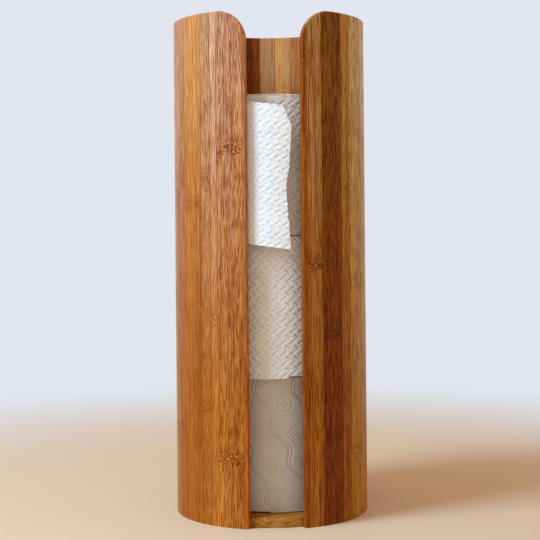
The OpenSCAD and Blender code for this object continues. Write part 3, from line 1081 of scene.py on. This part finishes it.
# Columns that stand close together round the groove, with the groove in their middle
SEAM_COLUMNS = 4
CORE_WALL = 0.001
CORE_EASE = 0.00025
BOARD_COLOUR = srgb(176, 160, 136)
BOARD_SHADE = (0.82, 0.80, 0.77)
BOARD_LIGHT = (1.10, 1.10, 1.12)
BOARD_FLECKS = (0.45, 0.42, 0.40)
BOARD_FROM, BOARD_TO = 0.35, 0.65
BOARD_FIBRES, BOARD_CLOUDS = 0.5, 0.5
FLECKS_FROM, FLECKS_TO, FLECKS_SHARE = 0.66, 0.72, 0.6
BOARD_GRAIN = ((700, 700, 1600), 0, 4.0, 0.7)
FLECK_GRAIN = ((1300, 1300, 1300), 6, 1.0, 0.5)
BOARD_CLOUD_GRAIN = ((70, 70, 70), 2, 2.0, 0.5)
BOARD_BUMP = {"Strength": 0.4, "Distance": 0.0001}
BOARD_GLOSS = {"Roughness": 0.85, "Specular IOR Level": 0.3}
BOARD_SEED = 2.3


def grey_board(name, seed):
    """Grey recycled board, with flecks and short fibres."""
    finish, tree, shader, place = new_finish(name)
    fibres = noise(tree, place, BOARD_GRAIN, seed)
    flecks = noise(tree, place, FLECK_GRAIN, seed)
    cloud = noise(tree, place, BOARD_CLOUD_GRAIN, seed)
    tone = maths(tree, "MULTIPLY", fibres, BOARD_FIBRES)
    tone = maths(tree, "MULTIPLY_ADD", cloud, BOARD_CLOUDS, tone)
    tone = ranged(tree, tone, BOARD_FROM, BOARD_TO)
    board_shade, board_light = tinted(BOARD_COLOUR, BOARD_SHADE), tinted(BOARD_COLOUR, BOARD_LIGHT)
    body = mixed(tree, tone, board_shade, board_light)
    flecked = ranged(tree, flecks, FLECKS_FROM, FLECKS_TO, 0.0, FLECKS_SHARE)
    body = mixed(tree, flecked, body, tinted(BOARD_COLOUR, BOARD_FLECKS))
    bump = wire(tree, "ShaderNodeBump", {**BOARD_BUMP, "Height": fibres}).outputs[0]
    feed(shader, {"Base Color": body, "Normal": bump, **BOARD_GLOSS})
    return finish


for number, roll in enumerate(ROLLS, 1):
    low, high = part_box(roll + "_core")
    inside_r = high.x - CORE_WALL
    uneased = high.z - low.z - 2 * CORE_EASE
    heights = [low.z + CORE_EASE + uneased * row / CORE_ROWS for row in range(CORE_ROWS + 1)]
    ends = [inside_r + CORE_EASE, high.x - CORE_EASE]
    profile = [(inside_r, z) for z in reversed(heights)] + [(r, low.z) for r in ends]
    profile += [(high.x, z) for z in heights] + [(r, high.z) for r in reversed(ends)]

    def screwed(around, radii, heights, inside_r=inside_r):
        column = (around / (2 * math.pi) * CORE_COLUMNS) % CORE_COLUMNS
        seam = SEAM_WIDTH / 2
        rest = (2 * math.pi * inside_r - SEAM_COLUMNS * seam) / (CORE_COLUMNS - SEAM_COLUMNS)
        arc = np.minimum(column, SEAM_COLUMNS) * seam + np.maximum(column - SEAM_COLUMNS, 0) * rest
        in_groove = (np.abs(column - SEAM_COLUMNS / 2) < 0.5) & (radii < inside_r + CORE_EASE / 2)
        turned = arc / inside_r + 2 * math.pi * heights / SEAM_LEAD
        return turned, radii + np.where(in_groove, SEAM_DEPTH, 0), heights

    core = wind(roll + "_core_board", CORE_COLUMNS, profile, screwed)
    core.data.materials.append(grey_board(roll + "_board", number * BOARD_SEED))
    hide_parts(roll + "_core")
    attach(core, roll)


# The loose end of the top roll is two plies of embossed tissue. It comes off the roll at the
# left, opens outward till it stands in the slot, and ends there, where it was torn off.
SHEET_HEIGHT = 0.100
# The loose end's turns, in degrees, and its distances from the stand's axis, from where it
# leaves the roll
SHEET_PATH = [
    (-78.4, 0.0576),
    (-55, 0.0585),
    (-35, 0.0613),
    (-20, 0.0638),
    (-12, 0.0649),
    (0, 0.0661),
    (10.5, 0.0672),
]
SHEET_PATH_DEGREE = 4
SHEET_PATH_STEPS = 400
SHEET_OUT = 0.0003
SHEET_DROP = 0.0005
SHEET_DROOP = 0.0093
SHEET_BOW = 0.0003
SHEET_BOWS = 9
SHEET_THICKNESS = 0.00025
SHEET_COLUMNS = 190
SHEET_ROWS = 230
SHEET_DASH = 0.0057
SHEET_DASH_ROW = 0.00385
SHEET_DASH_START = 0.002
SHEET_DASH_WIDTH = 0.0012
SHEET_DASH_DEPTH = 0.00042
# Painted shade in the loose end's embossed pits
SHEET_PIT_SHADE = 0.05
# Painted light: the loose end is the top roll's own tissue, coloured whiter and bluer where the
# lamp falls on it
SHEET_LIT_COLOUR = srgb(246, 249, 255)
SHEET_SEED = 5.5
TORN_X = 0.0125
# How far the torn edge lies back, at shares of the sheet's height from its top
TORN_EDGE = [
    (0, 0.006),
    (0.13, 0),
    (0.31, 0.001),
    (0.45, 0.002),
    (0.55, 0.004),
    (0.73, 0.003),
    (1, 0.001),
]
TORN_RAGGED = 0.00045
TORN_SOFTENED = (0.3, 0.5, 0.2)
TORN_SEED = 7

path_turns, path_reaches = np.array(SHEET_PATH).T
path_turns = np.radians(path_turns)
path = np.polynomial.Polynomial.fit(path_turns, path_reaches, SHEET_PATH_DEGREE)
path_turns = np.linspace(path_turns[0], path_turns[-1], SHEET_PATH_STEPS)
path_reaches = path(path_turns)
path_x, path_y = path_reaches * np.sin(path_turns), -path_reaches * np.cos(path_turns)
path_steps = np.hypot(np.diff(path_x), np.diff(path_y))
run = np.concatenate([[0], np.cumsum(path_steps)])
leaves_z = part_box("top_roll_paper")[1].z - SHEET_DROP

bpy.ops.object.select_all(action="DESELECT")
bpy.ops.mesh.primitive_grid_add(x_subdivisions=SHEET_COLUMNS, y_subdivisions=SHEET_ROWS, size=1)
sheet = bpy.context.object
sheet.name = "loose_tissue_sheet"
across, up = points_of(sheet)[:, :2].T + 0.5
down = 1 - up
ragged = np.random.default_rng(TORN_SEED).uniform(-1, 1, SHEET_ROWS + len(TORN_SOFTENED))
ragged = np.convolve(ragged, TORN_SOFTENED, "same")[: SHEET_ROWS + 1]
torn = np.interp(down, *zip(*TORN_EDGE))
torn = torn + TORN_RAGGED * ragged[np.rint(down * SHEET_ROWS).astype(int)]
length = across * (run[-1] - torn)
dash_place = (length + SHEET_DASH_START, down * SHEET_HEIGHT)
relief = dashes(*dash_place, SHEET_DASH, SHEET_DASH_ROW, SHEET_DASH_WIDTH)
bow = SHEET_BOW * np.sin(down * SHEET_BOWS) * across
radius = np.interp(length, run, path_reaches)
radius = radius + SHEET_OUT - SHEET_DASH_DEPTH * relief + bow
turn = np.interp(length, run, path_turns)
x, y = radius * np.sin(turn), -radius * np.cos(turn)
droop = SHEET_DROOP * (x - path_x[0]) / (TORN_X - path_x[0])
z = leaves_z - droop - down * SHEET_HEIGHT
sheet.data.vertices.foreach_set("co", np.stack([x, y, z], axis=1).ravel())
sheet.data.attributes.new("pressed", "FLOAT", "POINT").data.foreach_set("value", relief)
sheet.data.update()
bpy.ops.object.mode_set(mode="EDIT")
bpy.ops.mesh.select_all(action="SELECT")
bpy.ops.mesh.normals_make_consistent(inside=False)
bpy.ops.object.mode_set(mode="OBJECT")
bpy.ops.object.modifier_add(type="SOLIDIFY")
sheet.modifiers[-1].thickness = SHEET_THICKNESS
sheet.modifiers[-1].offset = 0
bpy.ops.object.modifier_apply(modifier=sheet.modifiers[-1].name)
bpy.ops.object.shade_smooth_by_angle(angle=PAPER_SHARP_FROM)
finish = tissue("loose_tissue", SHEET_LIT_COLOUR, SHEET_SEED, SHEET_PIT_SHADE)
sheet.data.materials.append(finish)
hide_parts("loose_sheet")
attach(sheet, "top_roll")
